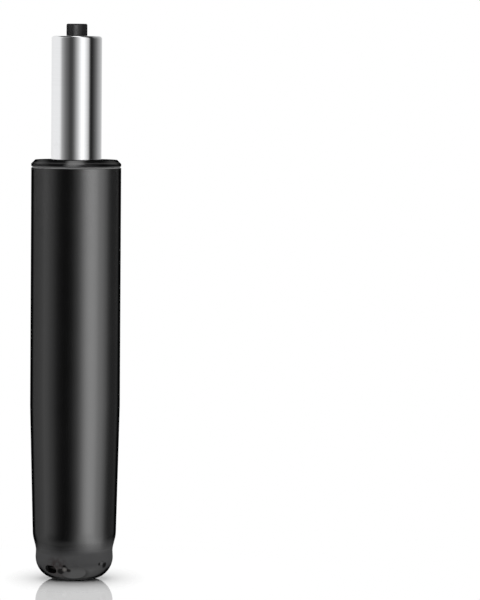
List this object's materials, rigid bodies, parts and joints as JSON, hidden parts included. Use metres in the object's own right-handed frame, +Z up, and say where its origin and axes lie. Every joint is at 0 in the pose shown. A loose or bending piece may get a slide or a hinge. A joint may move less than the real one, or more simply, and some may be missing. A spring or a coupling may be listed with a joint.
{
  "type": "chair gas lift cylinder",
  "caption": "Gas lift cylinder for a swivel chair: a black tapered stand tube, a chromed spindle that rises and turns in it, and a release button on top.",
  "frame": {"origin": "centre of the flat foot, on the surface that the cylinder stands on", "axes": "+Z up along the axis of lift and swivel, towards the release button; the front faces -Y and +X is to its right"},
  "size_m": [0.05, 0.05, 0.309],
  "materials": {
    "tube_paint": "gloss",
    "bush_plastic": "satin",
    "chrome_plate": "polished",
    "button_plastic": "gloss",
    "plate_steel": "satin",
    "plain_steel": "satin",
    "spring_steel": "satin",
    "bearing_steel": "polished",
    "rod_steel": "polished",
    "pin_steel": "polished",
    "cage_plastic": "matte",
    "slide_plastic": "satin",
    "bumper_rubber": "matte",
    "seal_rubber": "satin",
    "piston_alloy": "satin",
    "valve_alloy": "satin",
    "spacer_brass": "satin"
  },
  "bodies": {
    "stand": {"outer_tube": "tube_paint", "bottom_plate": "plate_steel", "guide_bush": "bush_plastic", "bearing_lower_race": "bearing_steel"},
    "cage": {"bearing_cage": "cage_plastic", "bearing_balls": "bearing_steel"},
    "rod": {"bearing_upper_race": "bearing_steel", "piston_rod": "rod_steel", "clip_washer": "plain_steel", "rod_clip": "spring_steel", "bumper": "bumper_rubber", "piston": "piston_alloy", "piston_o_ring": "seal_rubber", "piston_wear_ring": "slide_plastic", "piston_washer": "plain_steel"},
    "spindle": {"spindle_tube": "chrome_plate", "gas_cylinder": "plain_steel", "seal_washer": "plain_steel", "rod_seal": "seal_rubber", "rod_guide": "slide_plastic", "valve_body": "valve_alloy", "head_o_ring": "seal_rubber", "spigot_o_ring": "seal_rubber", "pin_o_rings": "seal_rubber", "pin_spacer": "spacer_brass", "valve_retainer": "slide_plastic"},
    "valve": {"valve_pin": "pin_steel", "release_button": "button_plastic"}
  },
  "joints": [
    {"name": "swivel", "type": "hinge", "parent": "stand", "child": "rod", "pos_m": [0, 0, 0.01234], "axis": [0, 0, 1], "continuous": true},
    {"name": "cage_spin", "type": "hinge", "parent": "stand", "child": "cage", "pos_m": [0, 0, 0.01234], "axis": [0, 0, 1], "continuous": true},
    {"name": "lift", "type": "slide", "parent": "rod", "child": "spindle", "axis": [0, 0, 1], "range_m": [0, 0.1]},
    {"name": "valve_press", "type": "slide", "parent": "spindle", "child": "valve", "axis": [0, 0, -1], "range_m": [0, 0.0035], "stiffness_N_per_m": 1000, "springref_m": -0.03}
  ],
  "couplings": [
    {"joint": "cage_spin", "follows": "swivel", "ratio": 0.5}
  ]
}
